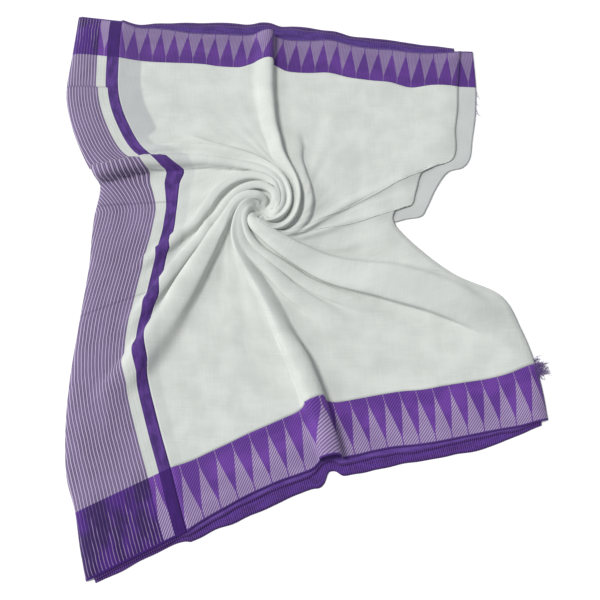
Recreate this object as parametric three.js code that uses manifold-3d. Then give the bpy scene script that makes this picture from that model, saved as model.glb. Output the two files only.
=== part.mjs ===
// A handloom cotton saree, folded in layers, pinched and twisted at its middle into a rosette
// and laid flat. Millimetres, +Z up. +Y runs across the cloth towards its upper border and
// +X runs along the cloth, away from the striped end piece.
import * as THREE from 'three';
import { mergeVertices } from 'three/addons/utils/BufferGeometryUtils.js';
import Module from 'manifold-3d';

const wasm = await Module();
wasm.setup();

// The cloth
const CLOTH_WIDTH = 1200;
const BORDER_WIDTH = 110;
const WALL = 1.2;
const STEEPEST = 0.4;
const SEAM_GAP = 0.3;

// The folded stack: the height of the top layer's face, at its edges and in its middle
const EDGE_LEVEL = 5.2;
const FLAT_LEVEL = 9.5;
const EDGE_ROUNDING = 45;
const ROLLED_EDGE_DROP = 3;
const ROLLED_EDGE_WIDTH = 9;
const LAYER_THICKNESS = 1.4;
const LAYER_GAP = 0.4;
const TUCK = 11;

// The middle of the part's own outline, where its origin is
const PLAN_MIDDLE = new THREE.Vector2(-16.6, 74.7);

// How the top layer lies, section by section up its width. `up` is the distance across the
// cloth from its lower edge. `left` is the folded outer edge of the striped end, `band` the
// seam between the end piece and the plain field, and `right` the edge at the other side.
const SECTIONS = [
  { up: 0, left: [-360, -499], band: [-193, -419], right: [447, -228] },
  { up: 55, left: [-376, -443], band: [-210, -366], right: [443, -176] },
  { up: 110, left: [-389, -388], band: [-227, -312], right: [435, -124] },
  { up: 200, left: [-411, -325], band: [-254, -232], right: [416, -60] },
  { up: 300, left: [-421, -240], band: [-280, -140], right: [383, 8] },
  { up: 400, left: [-422, -150], band: [-283, -58], right: [300, 50] },
  { up: 500, left: [-415, -40], band: [-267, 18], right: [236, 101] },
  { up: 600, left: [-407, 75], band: [-254, 103], right: [185, 160] },
  { up: 640, left: [-408, 124], band: [-246, 142], right: [190, 186] },
  { up: 680, left: [-407, 169], band: [-243, 182], right: [221, 196] },
  { up: 740, left: [-401, 240], band: [-240, 240], right: [233, 230] },
  { up: 790, left: [-424, 275], band: [-236, 276], right: [251, 276] },
  { up: 850, left: [-446, 316], band: [-308, 311], right: [311, 300] },
  { up: 920, left: [-473, 380], band: [-352, 376], right: [321, 372] },
  { up: 1000, left: [-491, 455], band: [-379, 450], right: [329, 420] },
  { up: 1090, left: [-488, 552], band: [-386, 541], right: [333, 471] },
  { up: 1145, left: [-486, 602], band: [-387, 590], right: [339, 516] },
  { up: 1200, left: [-484, 650], band: [-387, 637], right: [345, 560] },
];

// How far the edges of the two borders bow towards +Y from straight lines between the band
// (along 0) and the right edge (along 1). A seam's bow fades out of the field over SEAM_BOW_REACH.
const BORDER_BOWS = [
  { along: 0, lowerEdge: 0, lowerSeam: 0, upperSeam: 0, upperEdge: 0 },
  { along: 0.05, lowerEdge: 11, lowerSeam: 1, upperSeam: -4, upperEdge: -12 },
  { along: 0.1, lowerEdge: 19, lowerSeam: 7, upperSeam: -5, upperEdge: -10 },
  { along: 0.15, lowerEdge: 27, lowerSeam: 13, upperSeam: -3, upperEdge: -11 },
  { along: 0.2, lowerEdge: 32, lowerSeam: 20, upperSeam: -1, upperEdge: -14 },
  { along: 0.25, lowerEdge: 36, lowerSeam: 25, upperSeam: 0, upperEdge: -13 },
  { along: 0.3, lowerEdge: 37, lowerSeam: 30, upperSeam: -2, upperEdge: -10 },
  { along: 0.34, lowerEdge: 40, lowerSeam: 35, upperSeam: -1, upperEdge: -9 },
  { along: 0.365, lowerEdge: 52, lowerSeam: 46, upperSeam: 1, upperEdge: -8 },
  { along: 0.39, lowerEdge: 52, lowerSeam: 49, upperSeam: 9, upperEdge: -4 },
  { along: 0.41, lowerEdge: 43, lowerSeam: 41, upperSeam: 16, upperEdge: 1 },
  { along: 0.44, lowerEdge: 41, lowerSeam: 32, upperSeam: 19, upperEdge: 2 },
  { along: 0.47, lowerEdge: 39, lowerSeam: 29, upperSeam: 8, upperEdge: -8 },
  { along: 0.5, lowerEdge: 38, lowerSeam: 27, upperSeam: -1, upperEdge: -10 },
  { along: 0.56, lowerEdge: 34, lowerSeam: 23, upperSeam: 0, upperEdge: -7 },
  { along: 0.62, lowerEdge: 26, lowerSeam: 18, upperSeam: 5, upperEdge: 0 },
  { along: 0.68, lowerEdge: 20, lowerSeam: 10, upperSeam: -3, upperEdge: -10 },
  { along: 0.74, lowerEdge: 16, lowerSeam: 6, upperSeam: -6, upperEdge: -13 },
  { along: 0.8, lowerEdge: 12, lowerSeam: 1, upperSeam: -6, upperEdge: -12 },
  { along: 0.86, lowerEdge: 8, lowerSeam: -4, upperSeam: -15, upperEdge: -14 },
  { along: 0.92, lowerEdge: 3, lowerSeam: -5, upperSeam: -5, upperEdge: -11 },
  { along: 0.97, lowerEdge: 2, lowerSeam: -1, upperSeam: -1, upperEdge: -5 },
  { along: 1, lowerEdge: 0, lowerSeam: 0, upperSeam: 0, upperEdge: 0 },
];
const SEAM_BOW_REACH = 330;

// The rosette, where the cloth was pinched and turned
const ROSETTE = new THREE.Vector2(-73, 175);
const DOME_HEIGHT = 17;
const DOME_REACH = 120;
const NAVEL_DEPTH = 10;
const NAVEL_REACH = 22;
const HIDDEN_DOME_SHARE = 0.25;
const HIDDEN_INSET = 20;
const HIDDEN_CLEARANCE = 1.3;
const HIDDEN_ROWS = 24;

// The folds that run out of the rosette. `turns` are their directions, in degrees, at the
// STATIONS' distances from the rosette's middle. `near` and `far` are the heights of the
// crest at NEAR_AT and FAR_AT from it, `slim` and `broad` the half widths there, and `ends`
// the distance at which the fold has died away. A fold leans clockwise, or bulges over both its
// sides where `leans` is 0.
const STATIONS = [20, 45, 70, 110, 170, 260, 360];
const NEAR_AT = 60;
const FAR_AT = 300;
const FOLDS = [
  {
    name: 'upper_left_roll', near: 15, far: 15, slim: 9, broad: 20, ends: 310,
    turns: [-60, 2, 52, 98, 128, 146, 152],
  },
  {
    name: 'upper_left_lip', near: 13, far: 23, slim: 8, broad: 18, ends: 460, leans: 0,
    turns: [-30, 30, 66, 113, 138, 155, 168],
  },
  {
    name: 'upper_left_tuck', near: 6, far: 5, slim: 6, broad: 12, ends: 250,
    turns: [-20, 10, 44, 87, 120, 134, 140],
  },
  {
    name: 'left_roll_top', near: 14, far: 8, slim: 10, broad: 14, ends: 260,
    turns: [-10, 50, 84, 172, 196, 204, 208],
  },
  {
    name: 'left_roll_middle', near: 14, far: 12, slim: 10, broad: 17, ends: 300,
    turns: [20, 62, 163, 196, 210, 219, 223],
  },
  {
    name: 'left_roll_foot', near: 15, far: 20, slim: 11, broad: 28, ends: 430,
    turns: [80, 140, 187, 210, 222, 229, 232],
  },
  {
    name: 'lower_roll', near: 14, far: 21, slim: 11, broad: 22, ends: 900, leans: 0,
    turns: [120, 192, 224, 255, 273, 281, 285],
  },
  {
    name: 'lower_right_fan', near: 13, far: 8, slim: 11, broad: 30, ends: 400,
    turns: [150, 205, 234, 273, 291, 302, 311],
  },
  {
    name: 'lower_right_lip', near: 13, far: 8, slim: 10, broad: 23, ends: 500,
    turns: [160, 216, 257, 289, 305, 318, 325],
  },
  {
    name: 'lower_right_roll', near: 15, far: 19, slim: 13, broad: 30, ends: 600,
    turns: [220, 275, 300, 317, 325, 330, 335],
  },
  {
    name: 'right_low', near: 6, far: 4, slim: 7, broad: 14, ends: 260,
    turns: [260, 290, 310, 323, 334, 356, 360],
  },
  {
    name: 'right_middle', near: 7, far: 5, slim: 7, broad: 12, ends: 330,
    turns: [270, 290, 305, 335, 354, 361, 363],
  },
  {
    name: 'right_top', near: 8, far: 5, slim: 8, broad: 15, ends: 380,
    turns: [280, 296, 316, 350, 367, 374, 378],
  },
  {
    name: 'upper_roll', near: 14, far: 15, slim: 9, broad: 20, ends: 900,
    turns: [-100, -55, 18, 66, 83, 89, 90],
  },
  {
    name: 'upper_lip', near: 12, far: 7, slim: 9, broad: 26, ends: 400,
    turns: [-110, -80, -45, 42, 67, 78, 83],
  },
];
const LEAN = 0.45;
const CREASE_SHARPNESS = 0.32;

// The rings of the field's grid, the folds that its spokes run along, anticlockwise, and the
// spokes that end on each stretch of its outline, clockwise from its lower left corner. They
// stand closest where folds run out.
const RINGS = 15;
const RING_CROWDING = 1.75;
const RIM_RINGS = [0.955, 0.98, 1];
const GUIDES = [
  'lower_right_roll', 'upper_roll', 'upper_left_roll', 'left_roll_top', 'left_roll_foot', 'lower_roll',
];
const SPOKES = [
  { side: 'band', from: 110, to: 340, steps: 4 },
  { side: 'band', from: 340, to: 640, steps: 14 },
  { side: 'band', from: 640, to: 740, steps: 3 },
  { side: 'band', from: 740, to: 900, steps: 11 },
  { side: 'band', from: 900, to: 1090, steps: 4 },
  { side: 'upper', from: 0, to: 0.37, steps: 4 },
  { side: 'upper', from: 0.37, to: 0.55, steps: 11 },
  { side: 'upper', from: 0.55, to: 0.98, steps: 6 },
  { side: 'upper', from: 0.98, to: 1, steps: 1 },
  { side: 'right', from: 1090, to: 700, steps: 8 },
  { side: 'right', from: 700, to: 440, steps: 7 },
  { side: 'right', from: 440, to: 110, steps: 14 },
  { side: 'lower', from: 1, to: 0.96, steps: 2 },
  { side: 'lower', from: 0.96, to: 0.56, steps: 5 },
  { side: 'lower', from: 0.56, to: 0.3, steps: 13 },
  { side: 'lower', from: 0.3, to: 0, steps: 4 },
];

// Where the end piece's columns and the borders' rows stand, in shares of their widths
const END_COLUMNS = [-1, -0.975, -0.93, -0.8, -0.64, -0.48, -0.32, -0.16, 0];
const BORDER_ROWS = [0, 0.08, 0.22, 0.55, 1];

// How far the layers under the top one reach past its edge, along each border
const LOWER_LAYERS = [
  { along: -1, second: 4, third: 8 },
  { along: -0.77, second: 4, third: 10 },
  { along: -0.2, second: 5, third: 9 },
  { along: -0.05, second: 6, third: 13 },
  { along: 0.05, second: 9, third: 23 },
  { along: 0.14, second: 10, third: 31 },
  { along: 0.22, second: 10, third: 33 },
  { along: 0.32, second: 9, third: 29 },
  { along: 0.41, second: 10, third: 28 },
  { along: 0.5, second: 11, third: 31 },
  { along: 0.6, second: 12, third: 28 },
  { along: 0.72, second: 8, third: 26 },
  { along: 0.8, second: 8, third: 27 },
  { along: 0.86, second: 7, third: 20 },
  { along: 0.93, second: 5, third: 12 },
  { along: 1, second: 2, third: 4 },
];
const UPPER_LAYERS = [
  { along: -1, second: 0.5, third: 1 },
  { along: -0.6, second: 1.5, third: 3.5 },
  { along: -0.05, second: 1.5, third: 3 },
  { along: 0.03, second: 5, third: 9 },
  { along: 0.1, second: 9, third: 15 },
  { along: 0.2, second: 20, third: 28 },
  { along: 0.3, second: 24, third: 33 },
  { along: 0.44, second: 22, third: 30 },
  { along: 0.5, second: 30, third: 39 },
  { along: 0.56, second: 27, third: 35 },
  { along: 0.62, second: 18, third: 25 },
  { along: 0.72, second: 21, third: 29 },
  { along: 0.82, second: 18, third: 26 },
  { along: 0.92, second: 14, third: 21 },
  { along: 1, second: 4, third: 8 },
];
const STRIP_CLEAR = 0.02;
const END_STRIP_CLEAR = 0.08;

// The inner end of the cloth, which shows past the right edge above the notch
const INNER_END = [
  { up: 622, edge: [188, 161] },
  { up: 640, edge: [208, 167] },
  { up: 665, edge: [239, 173] },
  { up: 690, edge: [251, 190] },
  { up: 740, edge: [272, 233] },
  { up: 790, edge: [299, 271] },
  { up: 830, edge: [330, 282] },
  { up: 870, edge: [346, 303] },
  { up: 920, edge: [354, 345] },
  { up: 1000, edge: [365, 405] },
  { up: 1090, edge: [371, 470] },
  { up: 1200, edge: [371, 560] },
];
const INNER_END_STEPS = 20;

// The tuft of frayed border threads at the lower right corner
const TUFT = { from: 92, to: 124, strands: 15, length: 26, thickness: 1.7, clear: 0.8, strip: 2.6 };

const lerp = THREE.MathUtils.lerp;
const clamp = THREE.MathUtils.clamp;
const smooth = THREE.MathUtils.smoothstep;
const turnOf = THREE.MathUtils.degToRad;
const steps = (count, from, to) => Array.from({ length: count + 1 }, (_, i) => lerp(from, to, i / count));

// A smooth curve through the rows of a table, with slopes taken from each row's neighbours.
function through(places, values, at) {
  const last = places.length - 1;
  const slope = (k) => {
    const a = Math.max(k - 1, 0);
    const b = Math.min(k + 1, last);
    return (values[b] - values[a]) / (places[b] - places[a]);
  };
  let i = 0;
  while (i < last - 1 && at > places[i + 1]) i += 1;
  const gap = places[i + 1] - places[i];
  const u = clamp((at - places[i]) / gap, 0, 1);
  return (
    values[i] * (2 * u ** 3 - 3 * u ** 2 + 1) +
    slope(i) * gap * (u ** 3 - 2 * u ** 2 + u) +
    values[i + 1] * (3 * u ** 2 - 2 * u ** 3) +
    slope(i + 1) * gap * (u ** 3 - u ** 2)
  );
}

// A named edge of a table in plan, at a distance up the cloth's width.
function edgeAt(table, name, up) {
  const places = table.map((row) => row.up);
  const axis = (k) => through(places, table.map((row) => row[name][k]), up);
  return new THREE.Vector2(axis(0), axis(1));
}

// Where the flat cloth lies in plan. `along` is -1 at the left edge, 0 at the band's seam and
// 1 at the right edge.
function plan(up, along) {
  const seam = edgeAt(SECTIONS, 'band', up);
  if (along < 0) return seam.lerp(edgeAt(SECTIONS, 'left', up), -along);
  const point = seam.lerp(edgeAt(SECTIONS, 'right', up), along);
  const places = BORDER_BOWS.map((row) => row.along);
  const bow = (name) => through(places, BORDER_BOWS.map((row) => row[name]), along);
  const nearLower = up < CLOTH_WIDTH - up;
  const depth = nearLower ? up : CLOTH_WIDTH - up;
  const atEdge = bow(nearLower ? 'lowerEdge' : 'upperEdge');
  const atSeam = bow(nearLower ? 'lowerSeam' : 'upperSeam');
  point.y += depth < BORDER_WIDTH
    ? lerp(atEdge, atSeam, depth / BORDER_WIDTH)
    : atSeam * (1 - smooth(depth, BORDER_WIDTH, BORDER_WIDTH + SEAM_BOW_REACH));
  return point;
}

// How far a point is from a line of short straight runs.
function distanceTo(line, p) {
  let best = Infinity;
  for (let i = 0; i + 1 < line.length; i += 1) {
    const run = { x: line[i + 1].x - line[i].x, y: line[i + 1].y - line[i].y };
    const arm = { x: p.x - line[i].x, y: p.y - line[i].y };
    const share = clamp((arm.x * run.x + arm.y * run.y) / (run.x ** 2 + run.y ** 2), 0, 1);
    best = Math.min(best, Math.hypot(arm.x - share * run.x, arm.y - share * run.y));
  }
  return best;
}

const ROLL_STOPS_UP = 590;
const LEFT_EDGE = steps(40, 0, CLOTH_WIDTH).map((up) => plan(up, -1));
const RIGHT_EDGE = steps(60, 0, CLOTH_WIDTH).map((up) => plan(up, 1));
const LOWER_EDGE = steps(40, -1, 1).map((along) => plan(0, along));
const UPPER_EDGE = steps(40, -1, 1).map((along) => plan(CLOTH_WIDTH, along));
const OUTLINE = [...LOWER_EDGE, ...RIGHT_EDGE, ...UPPER_EDGE.toReversed(), ...LEFT_EDGE.toReversed()]
  .filter((p, i, all) => i === 0 || p.distanceTo(all[i - 1]) > 1e-6);
const ROLLED_EDGES = [LEFT_EDGE, steps(40, 0, ROLL_STOPS_UP).map((up) => plan(up, 1))];

// The height at which the top face would lie with no folds: the stack thins towards its
// edges, and the edges at which the cloth is folded under roll down towards the table.
function restingLevel(p) {
  const inward = clamp(distanceTo(OUTLINE, p) / EDGE_ROUNDING, 0, 1);
  const level = lerp(EDGE_LEVEL, FLAT_LEVEL, 1 - (1 - inward) ** 2);
  const rolled = Math.min(...ROLLED_EDGES.map((line) => distanceTo(line, p)));
  return level - ROLLED_EDGE_DROP * (1 - smooth(rolled, 0, ROLLED_EDGE_WIDTH));
}

const swell = (reach, height, width) => height * Math.exp(-((reach / width) ** 2));

// One fold seen from a point of the plan: the height of its rounded ridge there,
// (1 - u^2)^1.5 of the crest's height at u half widths from it, and the way it leans.
function ridge(fold, arm, reach, heading) {
  const path = (r) => turnOf(through(STATIONS, fold.turns, clamp(r, STATIONS[0], STATIONS.at(-1))));
  const winding = ((path(reach + 1) - path(reach - 1)) / 2) * reach;
  const apart = heading - path(reach);
  const aside = (Math.atan2(Math.sin(apart), Math.cos(apart)) * reach) / Math.hypot(1, winding);
  const outward = clamp((reach - NEAR_AT) / (FAR_AT - NEAR_AT), 0, 1);
  const half = lerp(fold.slim, fold.broad, outward) * smooth(reach, -30, 45);
  const alive = smooth(reach, 4, 32) * (1 - smooth(reach, 0.72 * fold.ends, fold.ends));
  const profile = (1 - clamp(aside / half, -1, 1) ** 2) ** 1.5;
  const leaning = fold.leans === 0 ? clamp((-2 * aside) / half, -1, 1) : 1;
  const downhill = new THREE.Vector2(arm.y + arm.x * winding, arm.y * winding - arm.x).normalize();
  return {
    height: lerp(fold.near, fold.far, outward) * alive * profile,
    lean: downhill.multiplyScalar(LEAN * leaning * half * alive * profile),
  };
}

// A point of the top layer's face over a point of the plan. The highest fold there wins,
// softly, so that two folds meet in a crease.
function draped(p) {
  const arm = new THREE.Vector2().subVectors(p, ROSETTE);
  const reach = Math.max(arm.length(), 1e-6);
  const ridges = FOLDS.map((fold) => ridge(fold, arm, reach, Math.atan2(arm.y, arm.x)));
  const weights = ridges.map((r) => Math.exp(CREASE_SHARPNESS * r.height) - 1);
  const total = weights.reduce((sum, w) => sum + w, 1);
  const point = p.clone();
  ridges.forEach((r, i) => point.addScaledVector(r.lean, weights[i] / total));
  const dome = swell(reach, DOME_HEIGHT, DOME_REACH) - swell(reach, NAVEL_DEPTH, NAVEL_REACH);
  return new THREE.Vector3(point.x, point.y, restingLevel(p) + dome + Math.log(total) / CREASE_SHARPNESS);
}

// The face and the underside of the top layer over a point of the plan, a wall apart.
function wallAt(p) {
  const face = draped(p);
  const aside = draped(new THREE.Vector2(p.x + 0.5, p.y)).sub(face);
  const ahead = draped(new THREE.Vector2(p.x, p.y + 0.5)).sub(face);
  const upright = aside.cross(ahead).normalize().z;
  const under = face.clone();
  under.z -= WALL / Math.max(upright, STEEPEST);
  return { face, under };
}

// A mesh's geometry from its points and the corners of its triangles.
function geometryOf(points, faces) {
  const geometry = new THREE.BufferGeometry();
  const flat = points.flatMap((p) => [p.x - PLAN_MIDDLE.x, p.y - PLAN_MIDDLE.y, p.z]);
  geometry.setAttribute('position', new THREE.Float32BufferAttribute(flat, 3));
  geometry.setIndex(faces);
  return geometry;
}

// A closed solid between two grids of points, rows by columns. The rows run uphill on the
// left of the columns' direction. A looped grid joins each row's end to its start, and its
// first row closes over the row's own middle.
function solidBetween(upper, lower, looped = false) {
  const rows = upper.length;
  const columns = upper[0].length;
  const points = [...upper.flat(), ...lower.flat()];
  const top = (i, j) => i * columns + (j % columns);
  const under = (i, j) => rows * columns + top(i, j);
  const faces = [];
  const quad = (a, b, c, d) => faces.push(a, b, c, a, c, d);
  const lastColumn = looped ? columns : columns - 1;
  for (let j = 0; j < lastColumn; j += 1) {
    for (let i = 0; i + 1 < rows; i += 1) {
      quad(top(i, j), top(i, j + 1), top(i + 1, j + 1), top(i + 1, j));
      quad(under(i, j), under(i + 1, j), under(i + 1, j + 1), under(i, j + 1));
    }
    quad(top(rows - 1, j), top(rows - 1, j + 1), under(rows - 1, j + 1), under(rows - 1, j));
    if (!looped) quad(top(0, j + 1), top(0, j), under(0, j), under(0, j + 1));
  }
  if (looped) {
    const middle = points.length;
    const mean = (ring) => ring.reduce((sum, p) => sum.add(p), new THREE.Vector3()).divideScalar(columns);
    points.push(mean(upper[0]), mean(lower[0]));
    for (let j = 0; j < columns; j += 1) {
      faces.push(middle, top(0, j + 1), top(0, j), middle + 1, under(0, j), under(0, j + 1));
    }
  } else {
    for (let i = 0; i + 1 < rows; i += 1) {
      quad(top(i, 0), top(i + 1, 0), under(i + 1, 0), under(i, 0));
      const j = columns - 1;
      quad(top(i + 1, j), top(i, j), under(i, j), under(i + 1, j));
    }
  }
  return geometryOf(points, faces);
}

// A stretch of the top layer over a grid of points of the plan.
function clothOver(grid, looped = false) {
  const walls = grid.map((row) => row.map(wallAt));
  const side = (name) => walls.map((row) => row.map((wall) => wall[name]));
  return solidBetween(side('face'), side('under'), looped);
}

// The same grid of plan points at two heights, which may depend on the place.
function slab(grid, lowest, highest) {
  const height = (level, p) => (typeof level === 'number' ? level : level(p));
  const lifted = (level) => grid.map((row) => row.map((p) => new THREE.Vector3(p.x, p.y, height(level, p))));
  return solidBetween(lifted(highest), lifted(lowest));
}

// The places where the spokes meet one side of the field, without the next side's first one.
function stopsOn(side) {
  return SPOKES.filter((row) => row.side === side).flatMap((row) =>
    steps(row.steps, row.from, row.to).slice(0, -1),
  );
}

const bandStops = stopsOn('band');
const upperStops = stopsOn('upper');
const rightStops = stopsOn('right');
const lowerStops = stopsOn('lower');

// The directions of the guiding folds at a distance from the rosette's middle, in order round
// it, with the first one again at the end.
function guideTurns(reach) {
  const turns = GUIDES.map((name, i) => {
    const { turns: table } = FOLDS.find((fold) => fold.name === name);
    return through(STATIONS, table, clamp(reach, STATIONS[0], STATIONS.at(-1))) + (i === 0 ? 0 : 360);
  });
  return [...turns, turns[0] + 360];
}

// The point of a spoke at a distance from the rosette's middle. The spoke ends at the tip of
// an arm, and stays as far between its two guiding folds, in proportion, as it is there.
function alongSpoke(arm, reach) {
  const atEnd = guideTurns(arm.length());
  const heading = THREE.MathUtils.radToDeg(Math.atan2(arm.y, arm.x));
  const turn = atEnd[0] + THREE.MathUtils.euclideanModulo(heading - atEnd[0], 360);
  const i = atEnd.findLastIndex((guide) => guide <= turn);
  const share = (turn - atEnd[i]) / (atEnd[i + 1] - atEnd[i]);
  const here = guideTurns(reach);
  const angle = turnOf(lerp(here[i], here[i + 1], share));
  return new THREE.Vector2(ROSETTE.x + reach * Math.cos(angle), ROSETTE.y + reach * Math.sin(angle));
}

// The plain field: a ring of spokes from the rosette to its outline, turned with the folds.
function field() {
  const inset = SEAM_GAP / 2;
  const seam = inset / 660;
  const within = (up) => clamp(up, BORDER_WIDTH + inset, CLOTH_WIDTH - BORDER_WIDTH - inset);
  const outline = [
    ...bandStops.map((up) => plan(within(up), seam)),
    ...upperStops.map((along) => plan(within(CLOTH_WIDTH), Math.max(along, seam))),
    ...rightStops.map((up) => plan(within(up), 1)),
    ...lowerStops.map((along) => plan(within(0), along)),
  ];
  const inner = steps(RINGS, 0, 1).slice(1, -1).map((share) => share ** RING_CROWDING);
  const rings = [...inner, ...RIM_RINGS];
  const grid = rings.map((share) =>
    outline.map((end) => {
      const arm = new THREE.Vector2().subVectors(end, ROSETTE);
      return share === 1 ? end : alongSpoke(arm, share * arm.length());
    }),
  );
  return clothOver(grid, true);
}

// The woven end piece: its stripes, its white strip and its band, across the whole width.
function endPiece() {
  const ups = [
    ...BORDER_ROWS.slice(0, -1).map((share) => share * BORDER_WIDTH),
    ...bandStops,
    ...BORDER_ROWS.toReversed().map((share) => CLOTH_WIDTH - share * BORDER_WIDTH),
  ];
  const seam = SEAM_GAP / 2 / 120;
  return clothOver(ups.map((up) => END_COLUMNS.map((along) => plan(up, Math.min(along, -seam)))));
}

// A border between the end piece and the right edge. Its columns are the field's spokes.
function border(stops, upOf) {
  const seam = SEAM_GAP / 2;
  const alongs = stops.map((along) => Math.max(along, seam / 660));
  return (rows) => clothOver(rows.map((share) => {
    const up = upOf(Math.min(share * BORDER_WIDTH, BORDER_WIDTH - seam));
    return alongs.map((along) => plan(up, along));
  }));
}

// Places between the left edge and the right one, closest where the borders bow most, and
// kept clear of the edges that roll down.
const STRIP_STOPS = [
  ...steps(6, -1 + END_STRIP_CLEAR, 0).slice(0, -1),
  ...BORDER_BOWS.map((row) => Math.min(row.along, 1 - STRIP_CLEAR)),
];

// A strip of an under layer along a border, tucked under the top layer and reaching past it.
function strip(table, name, up, inward, bottom) {
  const places = table.map((row) => row.along);
  const tucked = STRIP_STOPS.map((along) => plan(up + inward * TUCK, along));
  const reaching = STRIP_STOPS.map((along) => {
    const rim = plan(up, along);
    const outward = rim.clone().sub(plan(up + inward * BORDER_WIDTH * 0.2, along)).normalize();
    return rim.addScaledVector(outward, through(places, table.map((row) => row[name]), along));
  });
  const grid = inward > 0 ? [reaching, tucked] : [tucked, reaching];
  return slab(grid, bottom, bottom + LAYER_THICKNESS);
}

const SECOND_LEVEL = LAYER_THICKNESS + LAYER_GAP;
const widthAt = (up) => edgeAt(SECTIONS, 'band', up).distanceTo(edgeAt(SECTIONS, 'right', up));
const endWidthAt = (up) => edgeAt(SECTIONS, 'band', up).distanceTo(edgeAt(SECTIONS, 'left', up));

// The inner end of the cloth, between the top layer's right edge and its own.
function innerEnd() {
  const ups = steps(INNER_END_STEPS, INNER_END[0].up, CLOTH_WIDTH);
  const grid = ups.map((up) => {
    const tucked = plan(Math.min(up, CLOTH_WIDTH - 1), 1 - TUCK / widthAt(up));
    return [tucked, edgeAt(INNER_END, 'edge', up)];
  });
  return slab(grid, SECOND_LEVEL, SECOND_LEVEL + LAYER_THICKNESS);
}

// The layers that nothing shows of, as one rounded solid with a flat underside.
function hiddenLayers() {
  const ups = steps(HIDDEN_ROWS, HIDDEN_INSET, CLOTH_WIDTH - HIDDEN_INSET);
  const shares = [...steps(3, -1, 0).slice(0, -1), ...BORDER_BOWS.map((row) => row.along)];
  const grid = ups.map((up) =>
    shares.map((share) => plan(up, share * (1 - HIDDEN_INSET / (share < 0 ? endWidthAt(up) : widthAt(up))))),
  );
  const drop = WALL + HIDDEN_CLEARANCE;
  const crown = (p) => swell(p.distanceTo(ROSETTE), DOME_HEIGHT * HIDDEN_DOME_SHARE, DOME_REACH);
  return slab(grid, 0, (p) => restingLevel(p) + crown(p) - drop);
}

// A closed solid for the boolean joins, from a geometry's positions alone.
function solid(geometry) {
  const merged = mergeVertices(geometry, 1e-4);
  return new wasm.Manifold(new wasm.Mesh({
    numProp: 3,
    vertProperties: new Float32Array(merged.attributes.position.array),
    triVerts: new Uint32Array(merged.index.array),
  }));
}

// One thread: a three-sided taper along a bent line, its points worked out in place.
function thread(root, direction, length, thickness, bend) {
  const side = new THREE.Vector3(-direction.y, direction.x, 0);
  const rings = steps(3, 0, 1).map((share) => {
    const centre = root.clone().addScaledVector(direction, share * length);
    centre.addScaledVector(side, bend * share ** 2);
    const radius = (thickness / 2) * lerp(1, 0.45, share);
    return [0, 1, 2].map((k) => {
      const turn = (k * Math.PI * 2) / 3 + Math.PI / 2;
      const point = centre.clone().addScaledVector(side, radius * Math.cos(turn));
      return point.setZ(centre.z + radius * Math.sin(turn));
    });
  });
  const faces = [0, 2, 1, 9, 10, 11];
  for (let i = 0; i < 3; i += 1) {
    for (let k = 0; k < 3; k += 1) {
      const a = 3 * i + k;
      const b = 3 * i + ((k + 1) % 3);
      faces.push(a, b, b + 3, a, b + 3, a + 3);
    }
  }
  return geometryOf(rings.flat(), faces);
}

// The frayed threads, fused at their roots into a narrow strip beside the cloth's edge.
function tuft() {
  const strip = steps(4, TUFT.from, TUFT.to).map((up) => {
    const [near, far] = [plan(up, 1), plan(up, 1)];
    near.x += TUFT.clear;
    far.x += TUFT.clear + TUFT.strip;
    return [near, far];
  });
  let joined = solid(slab(strip, LAYER_GAP, LAYER_GAP + 2 * TUFT.thickness));
  steps(TUFT.strands - 1, 0, 1).forEach((share, i) => {
    const up = lerp(TUFT.from + 2, TUFT.to - 2, share);
    const root = plan(up, 1);
    const level = LAYER_GAP + TUFT.thickness * (0.75 + 0.5 * (i % 2));
    const fan = turnOf(lerp(-62, 28, share) + 9 * Math.sin(5 * i));
    const direction = new THREE.Vector3(Math.cos(fan), Math.sin(fan), 0);
    const length = TUFT.length * (0.72 + 0.28 * Math.sin(3 * i + 1) ** 2);
    const start = new THREE.Vector3(root.x + TUFT.clear + TUFT.strip / 2, root.y, level);
    joined = joined.add(solid(thread(start, direction, length, TUFT.thickness, 4 * Math.sin(7 * i))));
  });
  const { vertProperties, triVerts } = joined.getMesh();
  const geometry = new THREE.BufferGeometry();
  geometry.setAttribute('position', new THREE.BufferAttribute(new Float32Array(vertProperties), 3));
  geometry.setIndex(new THREE.BufferAttribute(new Uint32Array(triVerts), 1));
  return geometry;
}

const WHITE = '#dcdfda';
const PURPLE = '#4f2a86';
const LAVENDER = '#9480ac';
const INK = '#35195c';

const part = new THREE.Group();

function place(name, geometry, colour) {
  const material = new THREE.MeshStandardMaterial({ color: colour, roughness: 0.9, metalness: 0 });
  const mesh = new THREE.Mesh(geometry, material);
  mesh.name = name;
  part.add(mesh);
}

const lowerBorder = border([0, ...lowerStops.toReversed()], (up) => up);
const upperBorder = border([...upperStops, 1], (up) => CLOTH_WIDTH - up);

place('field', field(), WHITE);
place('end_piece', endPiece(), LAVENDER);
place('border_lower', lowerBorder(BORDER_ROWS), PURPLE);
place('border_upper', upperBorder(BORDER_ROWS.toReversed()), PURPLE);
place('layers_beneath', hiddenLayers(), WHITE);
place('lower_second_layer', strip(LOWER_LAYERS, 'second', 0, 1, SECOND_LEVEL), INK);
place('lower_third_layer', strip(LOWER_LAYERS, 'third', 0, 1, 0), PURPLE);
place('upper_second_layer', strip(UPPER_LAYERS, 'second', CLOTH_WIDTH, -1, SECOND_LEVEL), INK);
place('upper_third_layer', strip(UPPER_LAYERS, 'third', CLOTH_WIDTH, -1, 0), PURPLE);
place('inner_end', innerEnd(), WHITE);
place('frayed_corner', tuft(), INK);

export default part;
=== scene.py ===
"""A handloom cotton saree, folded in layers, twisted at its middle into a rosette and laid flat.

Lengths are millimetres until a mesh is made. Places in plan are in the same frame as the model's
own tables, and MIDDLE is the point of that plan that lies at the origin.
"""
import math

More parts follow.
